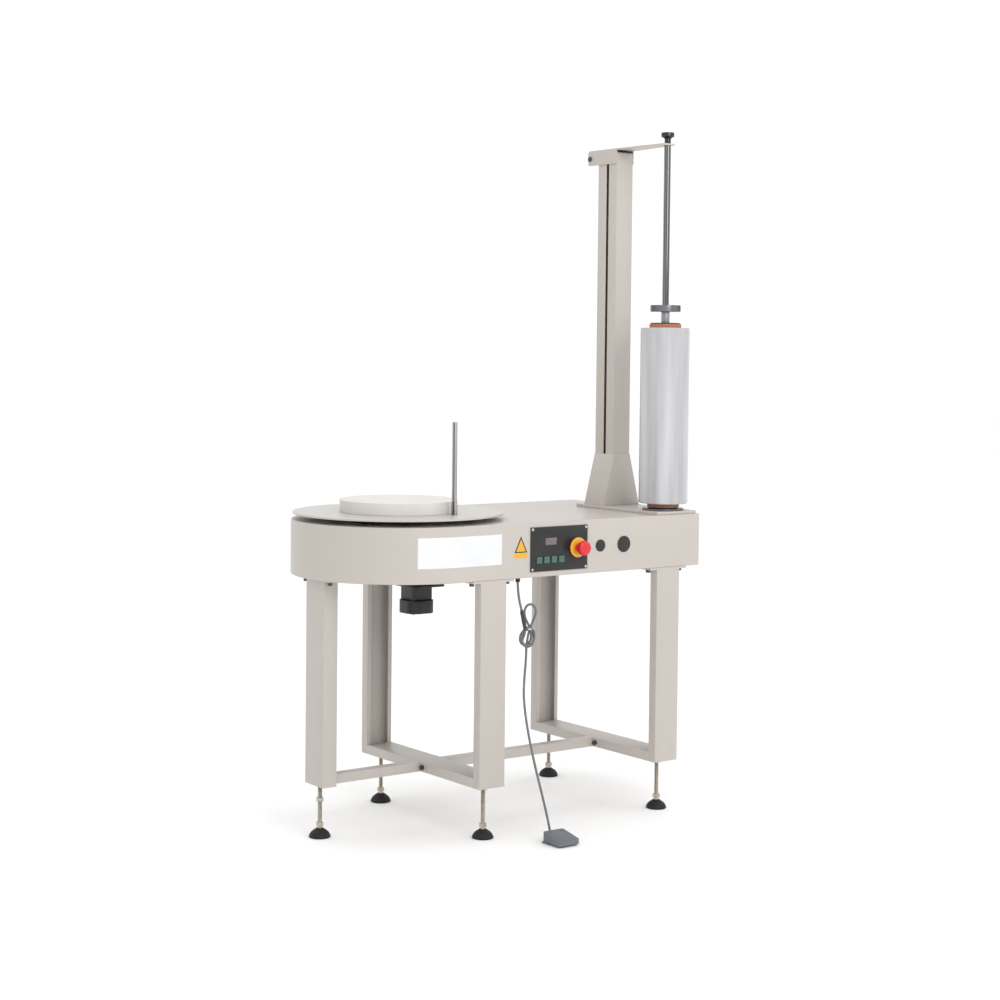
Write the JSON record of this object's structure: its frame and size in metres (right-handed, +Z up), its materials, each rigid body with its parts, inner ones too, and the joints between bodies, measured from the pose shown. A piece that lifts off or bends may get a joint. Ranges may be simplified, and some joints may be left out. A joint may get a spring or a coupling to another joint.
{
  "type": "turntable pallet wrapper",
  "caption": "Table-top stretch wrapper with a powered turntable, a film roll on an upright spindle, a swing arm and a foot pedal.",
  "frame": {"origin": "centre of the bounding box, on the floor", "axes": "+Z up; +X from the turntable towards the column; the control panel faces -Y"},
  "size_m": [1.125, 0.747, 1.917],
  "materials": {
    "cream_paint": "satin",
    "dark_paint": "satin",
    "zinc_steel": "brushed",
    "chrome": "polished",
    "black_rubber": "matte",
    "kraft_card": "matte",
    "film": "gloss",
    "black_plastic": "satin",
    "yellow_plastic": "gloss",
    "red_plastic": "gloss",
    "teal_plastic": "gloss",
    "grey_plastic": "satin",
    "cord_sheath": "matte",
    "riser_board": "satin"
  },
  "bodies": {
    "frame": {"table_deck": "cream_paint", "table_skirt": "cream_paint", "deck_plate": "cream_paint", "leg_end": "cream_paint", "leg_a_rear": "cream_paint", "leg_a_front": "cream_paint", "bar_a": "cream_paint", "leg_b_rear": "cream_paint", "leg_b_front": "cream_paint", "bar_b": "cream_paint", "brace_left": "cream_paint", "brace_right": "cream_paint", "frame_bolts": "zinc_steel", "foot_nuts": "zinc_steel", "levelling_foot_1": "black_rubber", "levelling_foot_2": "black_rubber", "levelling_foot_3": "black_rubber", "levelling_foot_4": "black_rubber", "levelling_foot_5": "black_rubber", "bearing_housing": "dark_paint", "drive_belt": "black_rubber", "motor_bracket": "dark_paint", "gearmotor": "dark_paint", "glide_pads": "black_plastic", "spindle_base": "dark_paint", "column_post": "cream_paint", "column_boot": "cream_paint", "column_cap": "cream_paint", "arm_pin": "dark_paint", "spindle_rod": "chrome", "control_panel": "black_plastic", "panel_screws": "zinc_steel", "estop_ring": "yellow_plastic", "hole_plugs": "black_plastic", "controller_box": "black_plastic", "pedal_base": "grey_plastic", "cord_gland": "black_plastic", "cord_upper": "cord_sheath", "cord_connector": "cord_sheath", "cord_hank": "cord_sheath", "cord_lower": "cord_sheath"},
    "turntable": {"turntable_disc": "cream_paint", "load_riser": "riser_board", "film_post": "chrome", "turntable_hub": "dark_paint", "driven_pulley": "zinc_steel"},
    "drive": {"drive_pulley": "zinc_steel"},
    "film_roll": {"core_chucks": "black_plastic", "roll_core": "kraft_card", "film_roll": "film"},
    "collar": {"tension_collar": "chrome"},
    "arm": {"swing_arm": "cream_paint"},
    "knob": {"spindle_knob": "chrome"},
    "estop": {"estop_button": "red_plastic"},
    "key_1": {"panel_key_1": "teal_plastic"},
    "key_2": {"panel_key_2": "teal_plastic"},
    "key_3": {"panel_key_3": "teal_plastic"},
    "key_4": {"panel_key_4": "teal_plastic"},
    "tread": {"pedal_tread": "grey_plastic"}
  },
  "joints": [
    {"name": "turntable_spin", "type": "hinge", "parent": "frame", "child": "turntable", "pos_m": [-0.2725, 0.0835, 0.85], "axis": [0, 0, 1], "continuous": true},
    {"name": "drive_spin", "type": "hinge", "parent": "frame", "child": "drive", "pos_m": [-0.1775, 0.1335, 0.754], "axis": [0, 0, 1], "continuous": true},
    {"name": "film_roll_spin", "type": "hinge", "parent": "frame", "child": "film_roll", "pos_m": [0.4875, -0.1335, 1.107], "axis": [0, 0, 1], "continuous": true},
    {"name": "collar_slide", "type": "slide", "parent": "frame", "child": "collar", "axis": [0, 0, 1], "range_m": [0, 0.44]},
    {"name": "arm_swing", "type": "hinge", "parent": "frame", "child": "arm", "pos_m": [0.4875, 0.1745, 1.862], "axis": [-1, 0, 0], "range_deg": [0, 95]},
    {"name": "knob_pull", "type": "slide", "parent": "arm", "child": "knob", "axis": [0, 0, 1], "range_m": [0, 0.015], "stiffness_N_per_m": 500, "springref_m": -0.005},
    {"name": "estop_push", "type": "slide", "parent": "frame", "child": "estop", "axis": [0, 1, 0], "range_m": [0, 0.005], "stiffness_N_per_m": 800, "springref_m": -0.002},
    {"name": "key_1_push", "type": "slide", "parent": "frame", "child": "key_1", "axis": [0, 1, 0], "range_m": [0, 0.0015], "stiffness_N_per_m": 600, "springref_m": -0.001},
    {"name": "key_2_push", "type": "slide", "parent": "frame", "child": "key_2", "axis": [0, 1, 0], "range_m": [0, 0.0015], "stiffness_N_per_m": 600, "springref_m": -0.001},
    {"name": "key_3_push", "type": "slide", "parent": "frame", "child": "key_3", "axis": [0, 1, 0], "range_m": [0, 0.0015], "stiffness_N_per_m": 600, "springref_m": -0.001},
    {"name": "key_4_push", "type": "slide", "parent": "frame", "child": "key_4", "axis": [0, 1, 0], "range_m": [0, 0.0015], "stiffness_N_per_m": 600, "springref_m": -0.001},
    {"name": "pedal_press", "type": "hinge", "parent": "frame", "child": "tread", "pos_m": [-0.0295, -0.3085, 0.017], "axis": [1, 0, 0], "range_deg": [0, 4], "stiffness_Nm_per_rad": 3, "springref_deg": -2.86}
  ],
  "couplings": [
    {"joint": "drive_spin", "follows": "turntable_spin", "ratio": 2.3333}
  ]
}
